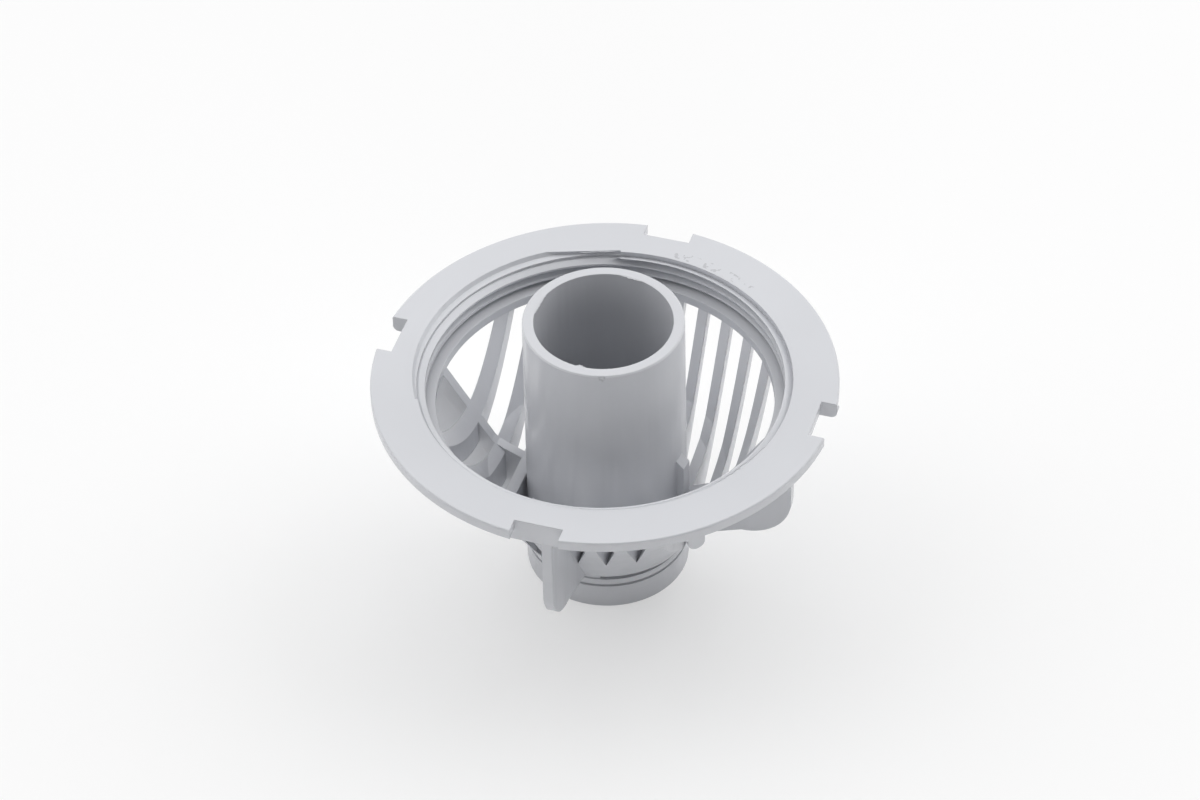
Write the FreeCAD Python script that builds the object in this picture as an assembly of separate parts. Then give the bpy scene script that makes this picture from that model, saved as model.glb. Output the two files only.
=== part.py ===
import FreeCAD, Part
import math
import os

# A dishwasher filter insert: one moulding in light grey plastic.
# A threaded ring with a notched flange carries a conical basket of parallel bars,
# and the basket carries an open tube that stands on its own foot.
# Frame: origin at the centre of the foot's underside, +Z up, millimetres.
# Angles are degrees counter-clockwise from +X, seen from above.

# Heights over the foot's underside
RING_TOP = 52.0
TUBE_TOP = 68.0

# Thread inside the ring
THREAD_CREST_RADIUS = 38.4
THREAD_DEPTH = 1.6
THREAD_PITCH = 2.1
THREAD_ROOT_WIDTH = 0.3
THREAD_MOUTH_WIDTH = 1.7
THREAD_TURNS = 2.45
THREAD_START_ANGLE = 240.0
THREAD_LOWEST = 1.15
RELIEF_HEIGHT = 1.0
RELIEF_CLEARANCE = 0.25
RELIEF_DEPTH = THREAD_DEPTH + RELIEF_CLEARANCE

# Step round the thread's mouth, and the wider recess where a cup's thread enters
MOUTH_STEP_CLEARANCE = 0.15
MOUTH_STEP_WIDTH = THREAD_DEPTH + MOUTH_STEP_CLEARANCE
MOUTH_STEP_DEPTH = 0.5
MOUTH_STEP_FALL = 0.8
ENTRY_WIDTH = 1.6
ENTRY_DRAFT = 0.6
ENTRY_DEPTH = 0.8
ENTRY_SHIFT = 2.3
ENTRY_MIDDLE = 118.0
ENTRY_CLEARANCE = 0.25
ENTRY_RUN_IN = MOUTH_STEP_WIDTH + ENTRY_CLEARANCE
ENTRY_START = 84.0
ENTRY_SPAN = 104.0

# Cup round the thread, and the flange round the cup
CUP_WALL = 1.8
CUP_RADIUS = THREAD_CREST_RADIUS + THREAD_DEPTH + CUP_WALL
CUP_DEPTH = 7.9
LIP_WIDTH = 2.1
LIP_HEIGHT = 2.1
LIP_RADIUS = THREAD_CREST_RADIUS - LIP_WIDTH
FLANGE_WIDTH = 8.2
FLANGE_RADIUS = CUP_RADIUS + FLANGE_WIDTH
FLANGE_THICKNESS = 2.5
EDGE_BREAK = 0.25

# Notches in the flange, and the tabs beside them
NOTCH_COUNT = 4
NOTCH_ANGLE = 162.0
NOTCH_WIDTH = 10.5
NOTCH_DEPTH = 3.7
TAB_THICKNESS = 2.0
TAB_DROP = 1.4
TAB_REACH = 6.0
APRON_THICKNESS = 1.6
APRON_DROP = 3.0
STOP_ANGLE = -68.0
STOP_WIDTH = 3.7
STOP_INSET = 1.6
STOP_THICKNESS = 3.0
STOP_DROP = 4.6

# Tube and foot
TUBE_TOP_RADIUS = 17.2
TUBE_FOOT_RADIUS = 17.6
TUBE_BORE_RADIUS = 14.8
TUBE_RIM_BREAK = 0.3
FOOT_STEP = 0.3
FOOT_RADIUS = TUBE_FOOT_RADIUS + FOOT_STEP
FOOT_HEIGHT = 8.2
FOOT_GROOVE_HEIGHT = 6.0
FOOT_GROOVE_WIDTH = 0.7
FOOT_GROOVE_DEPTH = 0.6
WINDOW_COUNT = 4
WINDOW_SPAN = 46.0
WINDOW_ANGLE = -73.0
KEY_ANGLE = -26.0
KEY_WIDTH = 3.0
KEY_RISE = 1.5
KEY_TOP = 34.7
KEY_BOTTOM = 20.0

# Basket: a cone above its knee, a flat bowl below it
BASKET_SETBACK = 2.0
BASKET_TOP_OUTER = CUP_RADIUS - BASKET_SETBACK
BASKET_FOOT_OUTER = 19.5
BASKET_FOOT_HEIGHT = 10.8
BOWL_KNEE_RADIUS = 25.8
BOWL_KNEE_HEIGHT = 27.1
BOWL_BEND_RADIUS = 22.6
BOWL_BEND_HEIGHT = 24.3
BOWL_FLOOR_HEIGHT = 23.0
BARS_EACH_SIDE = 5
BAR_PITCH = 6.0
BAR_THICKNESS = 2.4
BAR_ANGLE = 162.0
WEB_THICKNESS = 2.4
HOOP_HEIGHT = 1.4
SLOT_FOOT_LOW = 20.0
SLOT_FOOT_HIGH = 30.0
SLOT_FEET = 3

# Fins
FIN_THICKNESS = 2.2
FIN_CORNER_RADIUS = 11.0
FIN_BOTTOM_HEIGHT = 15.4
FIN_FOOT_RADIUS = 20.5
FIN_FOOT_RISE = 0.6
FIN_FOOT_HEIGHT = BASKET_FOOT_HEIGHT + FIN_FOOT_RISE

JOIN = 0.4
FAR = 120.0


def vec(x, y, z):
    return FreeCAD.Vector(x, y, z)


def turned(shape, angle):
    """The shape turned about the tube's axis."""
    copy = shape.copy()
    copy.rotate(vec(0, 0, 0), vec(0, 0, 1), angle)
    return copy


def outline_face(edges):
    return Part.Face(Part.Wire(edges))


def polygon_face(points):
    """A face in the plane through the axis, from (radius, height) corners."""
    corners = [vec(r, 0, z) for r, z in points]
    return Part.Face(Part.makePolygon(corners + corners[:1]))


def revolved(points):
    """A solid of revolution from (radius, height) corners."""
    return polygon_face(points).revolve(vec(0, 0, 0), vec(0, 0, 1), 360)


def plate(points, thickness):
    """A radial plate along +X, from (radius, height) corners."""
    face = polygon_face(points)
    face.translate(vec(0, -thickness / 2, 0))
    return face.extrude(vec(0, thickness, 0))


def cup_bottom():
    return RING_TOP - CUP_DEPTH


def ring():
    """Flange, cup wall, inner ledge and lip as one turned section."""
    ledge = cup_bottom() + LIP_HEIGHT
    flange_underside = RING_TOP - FLANGE_THICKNESS
    relief_radius = THREAD_CREST_RADIUS + RELIEF_DEPTH
    return revolved([
        (THREAD_CREST_RADIUS, RING_TOP),
        (FLANGE_RADIUS - EDGE_BREAK, RING_TOP),
        (FLANGE_RADIUS, RING_TOP - EDGE_BREAK),
        (FLANGE_RADIUS, flange_underside + EDGE_BREAK),
        (FLANGE_RADIUS - EDGE_BREAK, flange_underside),
        (CUP_RADIUS, flange_underside),
        (CUP_RADIUS, cup_bottom()),
        (LIP_RADIUS, cup_bottom()),
        (LIP_RADIUS, ledge),
        (relief_radius, ledge),
        (relief_radius, ledge + RELIEF_HEIGHT),
        (THREAD_CREST_RADIUS, ledge + RELIEF_HEIGHT),
    ])


def thread_groove():
    """The V groove of the thread, swept along its helix."""
    crest = THREAD_CREST_RADIUS
    clear = 0.4
    widening = (THREAD_MOUTH_WIDTH - THREAD_ROOT_WIDTH) / THREAD_DEPTH
    half_mouth = (THREAD_MOUTH_WIDTH + clear * widening) / 2
    half_root = THREAD_ROOT_WIDTH / 2
    section = Part.makePolygon([
        vec(crest - clear, 0, -half_mouth),
        vec(crest + THREAD_DEPTH, 0, -half_root),
        vec(crest + THREAD_DEPTH, 0, half_root),
        vec(crest - clear, 0, half_mouth),
        vec(crest - clear, 0, -half_mouth),
    ])
    path = Part.makeLongHelix(THREAD_PITCH, THREAD_PITCH * THREAD_TURNS, crest)
    groove = Part.Wire(path.Edges).makePipeShell([section], True, True)
    groove.translate(vec(0, 0, cup_bottom() + LIP_HEIGHT + THREAD_LOWEST))
    return turned(groove, THREAD_START_ANGLE)


def mouth_step():
    """The step round the top of the thread, its floor falling away towards its wall."""
    floor = RING_TOP - MOUTH_STEP_DEPTH
    wall = THREAD_CREST_RADIUS + MOUTH_STEP_WIDTH
    return revolved([
        (0, floor), (THREAD_CREST_RADIUS, floor), (wall, floor - MOUTH_STEP_FALL), (wall, FAR), (0, FAR),
    ])


def entry_recess():
    """The recess where a cup's thread enters: part of an off-centre bore, with a straight run-in."""
    radius = THREAD_CREST_RADIUS + ENTRY_WIDTH
    cone = Part.makeCone(
        radius - ENTRY_DRAFT, radius + ENTRY_DRAFT, 2 * ENTRY_DEPTH, vec(0, 0, RING_TOP - ENTRY_DEPTH)
    )
    cone.translate(vec(ENTRY_SHIFT, 0, 0))
    sector = Part.makeCylinder(
        FLANGE_RADIUS, 2 * ENTRY_DEPTH, vec(0, 0, RING_TOP - ENTRY_DEPTH), vec(0, 0, 1), ENTRY_SPAN
    )
    run_in = Part.makeBox(FAR, FAR, FAR, vec(-FAR / 2, THREAD_CREST_RADIUS + ENTRY_RUN_IN, 0))
    return turned(cone, ENTRY_MIDDLE).common(turned(sector, ENTRY_START)).cut(run_in)


def notch_angles():
    return [NOTCH_ANGLE + 360.0 * i / NOTCH_COUNT for i in range(NOTCH_COUNT)]


def notch():
    """One straight-sided notch through the flange, along +X."""
    return Part.makeBox(
        FLANGE_RADIUS, NOTCH_WIDTH, 2 * FLANGE_THICKNESS,
        vec(FLANGE_RADIUS - NOTCH_DEPTH, -NOTCH_WIDTH / 2, RING_TOP - 1.5 * FLANGE_THICKNESS),
    )


def notch_tab(side):
    """The plate under the flange at one end of a notch, its outer corner rounded."""
    low = RING_TOP - FLANGE_THICKNESS - TAB_DROP
    high = RING_TOP - FLANGE_THICKNESS + JOIN
    inner = FLANGE_RADIUS - TAB_REACH
    outer = FLANGE_RADIUS - EDGE_BREAK
    corner = min(TAB_DROP, TAB_THICKNESS)
    mid = corner * math.sqrt(0.5)
    edges = [
        Part.LineSegment(vec(inner, 0, low), vec(outer - corner, 0, low)).toShape(),
        Part.Arc(
            vec(outer - corner, 0, low),
            vec(outer - corner + mid, 0, low + corner - mid),
            vec(outer, 0, low + corner),
        ).toShape(),
        Part.LineSegment(vec(outer, 0, low + corner), vec(outer, 0, high)).toShape(),
        Part.LineSegment(vec(outer, 0, high), vec(inner, 0, high)).toShape(),
        Part.LineSegment(vec(inner, 0, high), vec(inner, 0, low)).toShape(),
    ]
    tab = outline_face(edges).extrude(vec(0, TAB_THICKNESS, 0))
    near_side = side * (NOTCH_WIDTH + TAB_THICKNESS) / 2 - TAB_THICKNESS / 2
    tab.translate(vec(0, near_side, 0))
    return tab


def notch_apron():
    """The short wall that carries on down under a notch's floor."""
    low = RING_TOP - FLANGE_THICKNESS - APRON_DROP
    return Part.makeBox(
        APRON_THICKNESS, NOTCH_WIDTH + 2 * TAB_THICKNESS, APRON_DROP + JOIN,
        vec(FLANGE_RADIUS - NOTCH_DEPTH - APRON_THICKNESS, -NOTCH_WIDTH / 2 - TAB_THICKNESS, low),
    )


def stop_tab():
    """The small round-ended stop under the flange."""
    low = RING_TOP - FLANGE_THICKNESS - STOP_DROP
    high = RING_TOP - FLANGE_THICKNESS + JOIN
    half = STOP_WIDTH / 2
    edges = [
        Part.LineSegment(vec(0, half, high), vec(0, half, low + half)).toShape(),
        Part.Arc(vec(0, half, low + half), vec(0, 0, low), vec(0, -half, low + half)).toShape(),
        Part.LineSegment(vec(0, -half, low + half), vec(0, -half, high)).toShape(),
        Part.LineSegment(vec(0, -half, high), vec(0, half, high)).toShape(),
    ]
    tab = outline_face(edges).extrude(vec(STOP_THICKNESS, 0, 0))
    tab.translate(vec(FLANGE_RADIUS - STOP_INSET - STOP_THICKNESS, 0, 0))
    return tab


def tube():
    """The open tube, a little wider at its foot, down to the foot's collar."""
    rim = TUBE_RIM_BREAK
    outer = revolved([
        (0, 0), (TUBE_FOOT_RADIUS, 0), (TUBE_TOP_RADIUS, TUBE_TOP - rim), (TUBE_TOP_RADIUS - rim, TUBE_TOP),
        (0, TUBE_TOP),
    ])
    collar = Part.makeCylinder(FOOT_RADIUS, FOOT_HEIGHT)
    groove = Part.makeCylinder(
        FAR, FOOT_GROOVE_WIDTH, vec(0, 0, FOOT_GROOVE_HEIGHT)
    ).cut(Part.makeCylinder(FOOT_RADIUS - FOOT_GROOVE_DEPTH, FAR))
    return outer.fuse(collar).cut(groove)


def tube_bore():
    return Part.makeCylinder(TUBE_BORE_RADIUS, FAR, vec(0, 0, -JOIN))


def window():
    """One drain window through the tube's wall, over the foot's collar."""
    sector = Part.makeCylinder(
        FOOT_RADIUS + JOIN, BASKET_FOOT_HEIGHT - FOOT_HEIGHT, vec(0, 0, FOOT_HEIGHT), vec(0, 0, 1), WINDOW_SPAN
    )
    return turned(sector, -WINDOW_SPAN / 2)


def windows():
    return [
        turned(window(), WINDOW_ANGLE + 360.0 * i / WINDOW_COUNT) for i in range(WINDOW_COUNT)
    ]


def key():
    """The upright key on the tube's side, its top face sloping out and down."""
    inner = (TUBE_TOP_RADIUS + TUBE_BORE_RADIUS) / 2
    outer = TUBE_FOOT_RADIUS + KEY_RISE
    shape = plate([
        (inner, KEY_BOTTOM), (outer, KEY_BOTTOM), (outer, KEY_TOP - KEY_RISE), (inner, KEY_TOP + KEY_RISE),
    ], KEY_WIDTH)
    return turned(shape, KEY_ANGLE)


def basket_shell():
    """The conical wall that the bars are cut from."""
    return revolved([
        (LIP_RADIUS, cup_bottom()),
        (LIP_RADIUS, cup_bottom() + JOIN),
        (BASKET_TOP_OUTER, cup_bottom() + JOIN),
        (BASKET_TOP_OUTER, cup_bottom()),
        (BASKET_FOOT_OUTER, BASKET_FOOT_HEIGHT),
        (TUBE_FOOT_RADIUS - JOIN, BASKET_FOOT_HEIGHT),
        (TUBE_FOOT_RADIUS - JOIN, BOWL_FLOOR_HEIGHT),
        (BOWL_BEND_RADIUS, BOWL_BEND_HEIGHT),
        (BOWL_KNEE_RADIUS, BOWL_KNEE_HEIGHT),
    ])


def bar_slab(offset):
    """An upright slab across the whole part, at a distance from the axis."""
    slab = Part.makeBox(
        BAR_THICKNESS, 2 * FLANGE_RADIUS, RING_TOP,
        vec(offset - BAR_THICKNESS / 2, -FLANGE_RADIUS, 0),
    )
    return turned(slab, BAR_ANGLE)


def web_slab():
    """The slab on the mould's parting plane, square to the bars."""
    slab = Part.makeBox(
        2 * FLANGE_RADIUS, WEB_THICKNESS, RING_TOP, vec(-FLANGE_RADIUS, -WEB_THICKNESS / 2, 0)
    )
    return turned(slab, BAR_ANGLE)


def slot_foot(index):
    """The sloping foot that closes a front slot's low end, from one bar to the next."""
    near = -index * BAR_PITCH - BAR_THICKNESS / 2
    far = near - (BAR_PITCH - BAR_THICKNESS)
    corners = [
        vec(near + JOIN, 0, BASKET_FOOT_HEIGHT),
        vec(near + JOIN, 0, SLOT_FOOT_LOW),
        vec(near, 0, SLOT_FOOT_LOW),
        vec(far, 0, SLOT_FOOT_HIGH),
        vec(far - JOIN, 0, SLOT_FOOT_HIGH),
        vec(far - JOIN, 0, BASKET_FOOT_HEIGHT),
    ]
    face = Part.Face(Part.makePolygon(corners + corners[:1]))
    return turned(face.extrude(vec(0, FLANGE_RADIUS, 0)), BAR_ANGLE)


def basket():
    """The bars, the web across them, the hoop at their foot and the slots' sloping feet."""
    slabs = [bar_slab(i * BAR_PITCH) for i in range(-BARS_EACH_SIDE, BARS_EACH_SIDE + 1)]
    feet = [slot_foot(i) for i in range(SLOT_FEET)]
    grid = slabs[0].multiFuse(slabs[1:] + [web_slab()] + feet)
    hoop = Part.makeCylinder(FAR, HOOP_HEIGHT, vec(0, 0, BASKET_FOOT_HEIGHT))
    return basket_shell().common(grid.fuse(hoop))


def fin():
    """A fin outside the basket along +X, flush with the cup, its low corner rounded."""
    top = cup_bottom() + JOIN
    corner = FIN_CORNER_RADIUS
    turn = corner * (1 - math.sqrt(0.5))
    inner_top = (LIP_RADIUS + BASKET_TOP_OUTER) / 2
    foot_inner = TUBE_FOOT_RADIUS - JOIN
    points = [
        vec(CUP_RADIUS, 0, top),
        vec(CUP_RADIUS, 0, FIN_BOTTOM_HEIGHT + corner),
        vec(CUP_RADIUS - corner, 0, FIN_BOTTOM_HEIGHT),
        vec(FIN_FOOT_RADIUS, 0, FIN_FOOT_HEIGHT),
        vec(foot_inner, 0, FIN_FOOT_HEIGHT),
        vec(foot_inner, 0, BOWL_FLOOR_HEIGHT - JOIN),
        vec(BOWL_KNEE_RADIUS, 0, BOWL_KNEE_HEIGHT - JOIN),
        vec(inner_top, 0, cup_bottom()),
        vec(inner_top, 0, top),
    ]
    bend = Part.Arc(
        points[1], vec(CUP_RADIUS - turn, 0, FIN_BOTTOM_HEIGHT + turn), points[2]
    ).toShape()
    lines = [Part.LineSegment(a, b).toShape() for a, b in zip(points[2:], points[3:] + points[:1])]
    edges = [Part.LineSegment(points[0], points[1]).toShape(), bend] + lines
    face = outline_face(edges)
    face.translate(vec(0, -FIN_THICKNESS / 2, 0))
    return face.extrude(vec(0, FIN_THICKNESS, 0))


def filter_insert():
    angles = notch_angles()
    flange = ring().cut(mouth_step()).cut(entry_recess()).cut(thread_groove())
    flange = flange.cut([turned(notch(), a) for a in angles])
    extras = [
        turned(notch_tab(-1), NOTCH_ANGLE),
        turned(notch_tab(1), NOTCH_ANGLE + 180),
        turned(notch_apron(), NOTCH_ANGLE + 90),
        turned(stop_tab(), STOP_ANGLE),
        key(),
    ]
    fins = [turned(fin(), a) for a in angles]
    body = flange.multiFuse([tube(), basket()] + fins + extras)
    body = body.cut([tube_bore()] + windows())
    return body.removeSplitter()


def main():
    os.makedirs("parts", exist_ok=True)
    shape = filter_insert()
    solids = shape.Solids
    box = shape.BoundBox
    print("filter_insert", "valid", shape.isValid(), "solids", len(solids))
    print("volume", round(shape.Volume, 1), "box", box.XLength, box.YLength, box.ZMin, box.ZMax)
    solids[0].exportStep("parts/filter_insert.step")


main()
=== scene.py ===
import math
import random

import bmesh
import bpy
from mathutils import Matrix, Vector


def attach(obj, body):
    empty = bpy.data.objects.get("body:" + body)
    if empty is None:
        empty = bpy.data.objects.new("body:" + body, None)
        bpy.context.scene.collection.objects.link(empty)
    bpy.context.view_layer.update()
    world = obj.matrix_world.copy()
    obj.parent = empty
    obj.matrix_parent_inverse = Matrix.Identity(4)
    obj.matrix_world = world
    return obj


# Looks of the dishwasher filter insert: one moulding in satin light grey plastic.
# The camera, in metres and radians, stands where the photograph was taken from.
CAMERA_AIM = Vector((0, 0, 0.052))
CAMERA_DISTANCE = 0.85221
CAMERA_PITCH = 0.760254
CAMERA_ROLL = -0.022449
CAMERA_SIDE = 0.000991
CAMERA_RISE = 0.005027
CAMERA_LENS = 120.0
CAMERA_NEAR = 0.01
SENSOR_WIDTH = 36.0

# Plastic
PLASTIC_COLOUR = (0.608, 0.618, 0.648, 1)
PLASTIC_CLOUD = (0.588, 0.598, 0.628, 1)
PLASTIC_ROUGHNESS = 0.25
PLASTIC_IOR = 1.49
EDGE_ROUNDING = 0.00022
BEVEL_SAMPLES = 6

# Flow clouds in the colour, then draw streaks and grain as bumps: noise scales, strengths and heights
CLOUD_SCALE = 40.0
CLOUD_RANGE = (0.15, 0.85)
STREAK_SCALE = 190.0
STREAK_DETAIL = 2.0
STREAK_ROUGHNESS = 0.4
STREAK_STRETCH = (1, 1, 0.05)
STREAK_STRENGTH = 0.5
STREAK_HEIGHT = 0.0008
GRAIN_SCALE = 2600.0
GRAIN_STRENGTH = 0.06
GRAIN_HEIGHT = 0.00003

# Small scuffs on the flange beside the thread's mouth
SCUFF_RADII = (0.0407, 0.0430)
SCUFF_CORNER = (0.016, 0.027, 0.0519)
SCUFF_SCALE = 700.0
SCUFF_DETAIL = 3.0
SCUFF_ROUGHNESS = 0.6
SCUFF_AMOUNT = 0.61
SCUFF_COLOUR = (0.470, 0.475, 0.500, 1)

# Flash left by the mould. Each row: radius, height, first and last angle, reach towards the axis, rise.
FLASH_ROOT = 0.00015
FLASH_STEP = 0.7
FLASH_SEED = 11
FLASH_TAPER = 0.6
FLASH_RAGGED = (0.35, 1.0)
FLASH = (
    (0.04015, 0.0520, -57, -33, 0.00050, 0.00016),
    (0.04015, 0.0520, 86, 97, 0.00030, 0.00012),
    (0.04015, 0.0520, -101, -96, 0.00030, 0.00014),
    (0.01480, 0.0680, 144, 170, 0.00090, 0.00010),
    (0.01480, 0.0680, 54, 76, 0.00080, 0.00010),
    (0.01480, 0.0680, -114, -105, 0.00060, 0.00012),
    (0.01715, 0.0679, -95, -90, -0.00090, -0.00090),
)

WHITE = (1, 1, 1, 1)

# Light and floor: the sky is dim towards -Y, as a white tent is at its open front.
# Each lamp: name, place, size, power.
SKY_STRENGTH = 1.38
SKY_FRONT_STRENGTH = 0.10
SKY_FRONT_RANGE = (-0.42, 0.28)
BACKGROUND_WHITE = 0.98
FLOOR_COLOUR = (0.90, 0.90, 0.90, 1)
FLOOR_SIZE = 3.0
FLOOR_ROUGHNESS = 0.9
FLOOR_GLOW = 0.42
LAMP_AIM = Vector((0, 0, 0.04))
LAMPS = (
    ("overhead_lamp", (0.0, 0.3, 1.15), 1.2, 1.0),
    ("right_lamp", (0.90, 0.35, 0.90), 1.2, 3.4),
    ("left_lamp", (-0.90, 0.05, 0.90), 1.2, 2.5),
    ("front_lamp", (0.0, -1.20, 0.14), 0.8, 3.5),
)


class Signal:
    """A socket's value. Python's operators on it add Math nodes to its material."""

    def __init__(self, finish, socket):
        self.finish = finish
        self.socket = socket

    def math(self, operation, first, second=0.0):
        return self.finish.node("ShaderNodeMath", {"operation": operation}, {0: first, 1: second})

    def __add__(self, other):
        return self.math("ADD", self, other)

    def __radd__(self, other):
        return self.math("ADD", other, self)

    def __sub__(self, other):
        return self.math("SUBTRACT", self, other)

    def __rsub__(self, other):
        return self.math("SUBTRACT", other, self)

    def __mul__(self, other):
        return self.math("MULTIPLY", self, other)

    def __rmul__(self, other):
        return self.math("MULTIPLY", other, self)

    def __pow__(self, other):
        return self.math("POWER", self, other)

    def __gt__(self, other):
        return self.math("GREATER_THAN", self, other)

    def __lt__(self, other):
        return self.math("LESS_THAN", self, other)


class Finish:
    """The node tree of a material, or of the sky."""

    def __init__(self, owner):
        self.owner = owner
        owner.use_nodes = True
        self.tree = owner.node_tree
        self.tree.nodes.clear()

    def node(self, kind, settings=None, values=None, output=0):
        """Adds one node: its settings first, then the values or links of its sockets."""
        made = self.tree.nodes.new(kind)
        for name, value in (settings or {}).items():
            setattr(made, name, value)
        for key, value in (values or {}).items():
            if isinstance(value, Signal):
                self.tree.links.new(value.socket, made.inputs[key])
            else:
                made.inputs[key].default_value = value
        return Signal(self, made.outputs[output]) if made.outputs else None

    def place(self, scale=(1, 1, 1)):
        """Object coordinates in metres, scaled along each axis."""
        coordinates = self.node("ShaderNodeTexCoord", output="Object")
        return self.node("ShaderNodeMapping", None, {"Vector": coordinates, "Scale": scale})

    def noise(self, scale, detail=2.0, roughness=0.5, stretch=(1, 1, 1)):
        return self.node("ShaderNodeTexNoise", None, {
            "Vector": self.place(stretch), "Scale": scale, "Detail": detail, "Roughness": roughness,
        })

    def spread(self, signal, low, high, to_low=0.0, to_high=1.0):
        """The signal's range from low to high, stretched to the new range."""
        return self.node("ShaderNodeMapRange", {"interpolation_type": "SMOOTHSTEP"}, {
            "Value": signal, "From Min": low, "From Max": high, "To Min": to_low, "To Max": to_high,
        })

    def blend(self, share, first, second):
        """A colour between two colours."""
        made = self.tree.nodes.new("ShaderNodeMix")
        made.data_type = "RGBA"
        for key, value in ((0, share), (6, first), (7, second)):
            if isinstance(value, Signal):
                self.tree.links.new(value.socket, made.inputs[key])
            else:
                made.inputs[key].default_value = value
        return Signal(self, made.outputs[2])

    def surface(self, shader):
        self.node("ShaderNodeOutputMaterial", None, {"Surface": shader})
        return self.owner


def scuffs(finish):
    """1 on the small scuffs, which lie on the flange's top beside the thread's mouth."""
    axes = finish.node("ShaderNodeTexCoord", output="Object")
    x, y, z = (finish.node("ShaderNodeSeparateXYZ", None, {"Vector": axes}, name) for name in "XYZ")
    radius = (x * x + y * y) ** 0.5
    inner, outer = SCUFF_RADII
    left, front, top = SCUFF_CORNER
    corner = (x > left) * (y > front) * (z > top) * (radius > inner) * (radius < outer)
    return (finish.noise(SCUFF_SCALE, SCUFF_DETAIL, SCUFF_ROUGHNESS) > SCUFF_AMOUNT) * corner


def upright(finish):
    """1 on walls, 0 on level faces."""
    normal = finish.node("ShaderNodeNewGeometry", output="Normal")
    tilt = finish.node("ShaderNodeSeparateXYZ", None, {"Vector": normal}, "Z")
    return 1.0 - tilt * tilt


def grey_plastic():
    """Satin polypropylene: faint flow clouds, draw streaks down the walls and soft moulded edges."""
    finish = Finish(bpy.data.materials.new("satin_grey_plastic"))
    clouds = finish.spread(finish.noise(CLOUD_SCALE), *CLOUD_RANGE)
    lines = finish.noise(STREAK_SCALE, STREAK_DETAIL, STREAK_ROUGHNESS, STREAK_STRETCH)
    streaks = lines * upright(finish)
    grain = finish.noise(GRAIN_SCALE)
    clean = finish.blend(clouds, PLASTIC_COLOUR, PLASTIC_CLOUD)
    colour = finish.blend(scuffs(finish), clean, SCUFF_COLOUR)
    rounded = finish.node("ShaderNodeBevel", {"samples": BEVEL_SAMPLES}, {"Radius": EDGE_ROUNDING})
    drawn = finish.node("ShaderNodeBump", None, {
        "Strength": STREAK_STRENGTH, "Distance": STREAK_HEIGHT, "Height": streaks, "Normal": rounded,
    })
    grained = finish.node("ShaderNodeBump", None, {
        "Strength": GRAIN_STRENGTH, "Distance": GRAIN_HEIGHT, "Height": grain, "Normal": drawn,
    })
    return finish.surface(finish.node("ShaderNodeBsdfPrincipled", None, {
        "Base Color": colour, "Roughness": PLASTIC_ROUGHNESS, "Normal": grained, "IOR": PLASTIC_IOR,
    }))


def flash_strip(mesh, dice, radius, height, first, last, reach, rise):
    """One ragged fin of flash along an edge: a thin three-sided strip that tapers out at both ends."""
    stations = int((last - first) / FLASH_STEP)
    rings = []
    for i in range(stations + 1):
        share = i / stations
        ragged = math.sin(math.pi * share) ** FLASH_TAPER * dice.uniform(*FLASH_RAGGED)
        angle = math.radians(first + (last - first) * share)
        section = (
            (radius + FLASH_ROOT, height - FLASH_ROOT / 4),
            (radius + FLASH_ROOT / 2, height - FLASH_ROOT),
            (radius - reach * ragged, height + rise * ragged),
        )
        rings.append([mesh.verts.new((r * math.cos(angle), r * math.sin(angle), z)) for r, z in section])
    for one, two in zip(rings, rings[1:]):
        for i in range(3):
            mesh.faces.new((one[i - 1], one[i], two[i], two[i - 1]))
    mesh.faces.new(rings[0])
    mesh.faces.new(rings[-1])


def make_flash(plastic):
    """The thin flash on the tube's rim and round the mouth of the thread."""
    dice = random.Random(FLASH_SEED)
    shape = bmesh.new()
    for edge in FLASH:
        flash_strip(shape, dice, *edge)
    bmesh.ops.recalc_face_normals(shape, faces=shape.faces)
    data = bpy.data.meshes.new("mould_flash")
    shape.to_mesh(data)
    shape.free()
    data.materials.append(plastic)
    flash = bpy.data.objects.new("mould_flash", data)
    bpy.context.collection.objects.link(flash)
    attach(flash, "root")


def floor_finish():
    """White studio paper: plain where it is seen, with the object's shadow kept."""
    finish = Finish(bpy.data.materials.new("studio_paper"))
    paper = finish.node("ShaderNodeBsdfPrincipled", None, {
        "Base Color": FLOOR_COLOUR, "Roughness": FLOOR_ROUGHNESS, "Specular IOR Level": 0.0,
    })
    glow = finish.node("ShaderNodeEmission", None, {"Color": WHITE, "Strength": BACKGROUND_WHITE})
    camera_ray = finish.node("ShaderNodeLightPath", output="Is Camera Ray")
    return finish.surface(finish.node("ShaderNodeMixShader", None, {
        0: camera_ray * FLOOR_GLOW, 1: paper, 2: glow,
    }))


def make_floor():
    half = FLOOR_SIZE / 2
    corners = [(-half, -half, 0), (half, -half, 0), (half, half, 0), (-half, half, 0)]
    mesh = bpy.data.meshes.new("studio_floor")
    mesh.from_pydata(corners, [], [(0, 1, 2, 3)])
    mesh.materials.append(floor_finish())
    floor = bpy.data.objects.new("studio_floor", mesh)
    bpy.context.collection.objects.link(floor)


def make_sky():
    """A white tent: its light on the object is softer than the white that the camera sees."""
    world = bpy.data.worlds.new("studio_sky")
    bpy.context.scene.world = world
    sky = Finish(world)
    direction = sky.node("ShaderNodeTexCoord", output="Generated")
    depth = sky.node("ShaderNodeSeparateXYZ", None, {"Vector": direction}, output="Y")
    strength = sky.spread(depth, *SKY_FRONT_RANGE, SKY_FRONT_STRENGTH, SKY_STRENGTH)
    light = sky.node("ShaderNodeBackground", None, {"Color": WHITE, "Strength": strength})
    seen = sky.node("ShaderNodeBackground", None, {"Color": WHITE, "Strength": BACKGROUND_WHITE})
    camera_ray = sky.node("ShaderNodeLightPath", output="Is Camera Ray")
    mixed = sky.node("ShaderNodeMixShader", None, {0: camera_ray, 1: light, 2: seen})
    sky.node("ShaderNodeOutputWorld", None, {"Surface": mixed})


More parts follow.
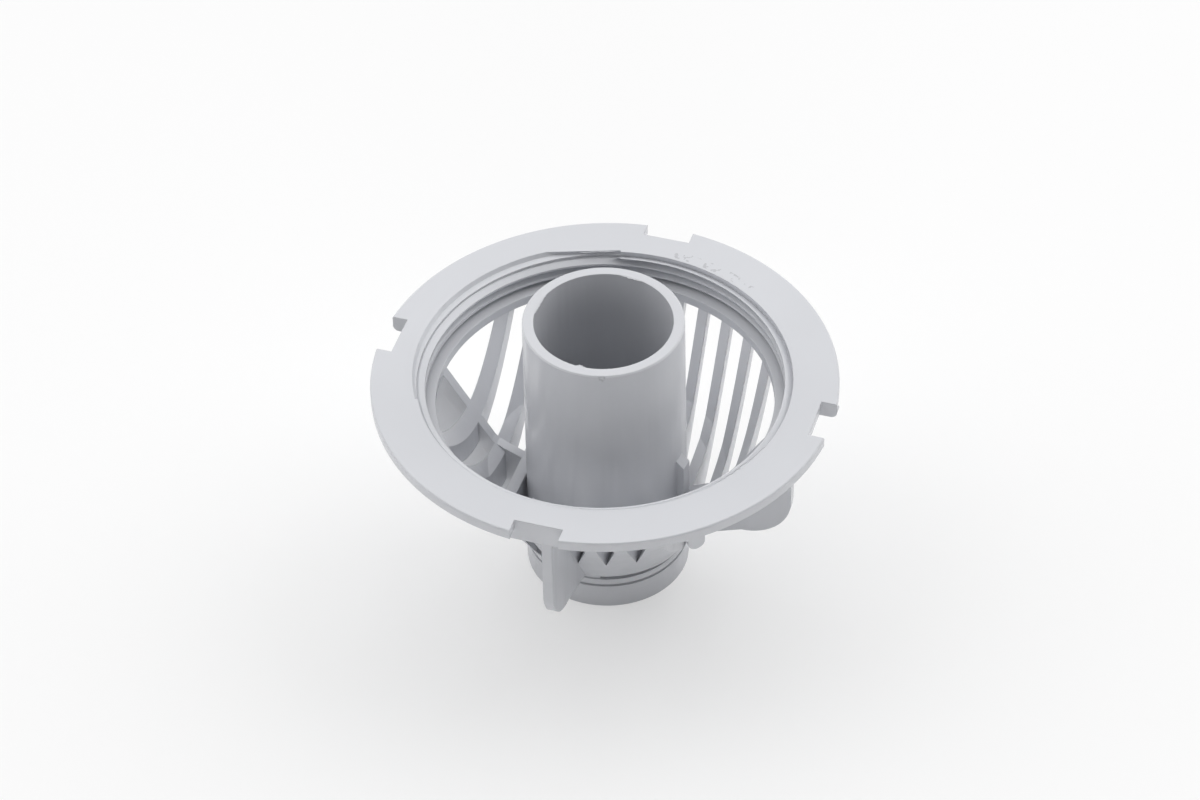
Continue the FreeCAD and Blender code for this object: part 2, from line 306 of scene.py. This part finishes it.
def make_lamp(name, place, size, power):
    data = bpy.data.lights.new(name, "AREA")
    data.shape = "DISK"
    data.size = size
    data.energy = power
    lamp = bpy.data.objects.new(name, data)
    lamp.location = place
    lamp.rotation_euler = (LAMP_AIM - Vector(place)).to_track_quat("-Z", "Y").to_euler()
    bpy.context.collection.objects.link(lamp)


def make_camera():
    """The photograph's camera: tipped down, rolled a little, with the ring near the middle."""
    forward = Vector((0, math.cos(CAMERA_PITCH), -math.sin(CAMERA_PITCH)))
    level_up = Vector((0, math.sin(CAMERA_PITCH), math.cos(CAMERA_PITCH)))
    level_right = Vector((1, 0, 0))
    right = math.cos(CAMERA_ROLL) * level_right + math.sin(CAMERA_ROLL) * level_up
    up = math.cos(CAMERA_ROLL) * level_up - math.sin(CAMERA_ROLL) * level_right
    eye = CAMERA_AIM - CAMERA_SIDE * right - CAMERA_RISE * up - CAMERA_DISTANCE * forward
    data = bpy.data.cameras.new("photo_camera")
    data.lens = CAMERA_LENS
    data.sensor_width = SENSOR_WIDTH
    data.clip_start = CAMERA_NEAR
    camera = bpy.data.objects.new("photo_camera", data)
    camera.matrix_world = Matrix.Translation(eye) @ Matrix((right, up, -forward)).transposed().to_4x4()
    bpy.context.collection.objects.link(camera)
    bpy.context.scene.camera = camera


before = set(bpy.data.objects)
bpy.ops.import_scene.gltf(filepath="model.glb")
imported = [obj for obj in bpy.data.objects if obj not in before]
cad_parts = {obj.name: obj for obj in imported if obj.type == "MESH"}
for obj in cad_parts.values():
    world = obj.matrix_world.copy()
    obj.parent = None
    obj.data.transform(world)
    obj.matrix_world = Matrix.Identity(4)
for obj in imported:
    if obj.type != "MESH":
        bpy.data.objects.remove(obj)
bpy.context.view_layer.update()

plastic = grey_plastic()
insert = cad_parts["filter_insert"]
insert.data.materials.clear()
insert.data.materials.append(plastic)
make_flash(plastic)

make_floor()
make_sky()
for name, place, size, power in LAMPS:
    make_lamp(name, place, size, power)
make_camera()
bpy.context.scene.view_settings.view_transform = "Standard"
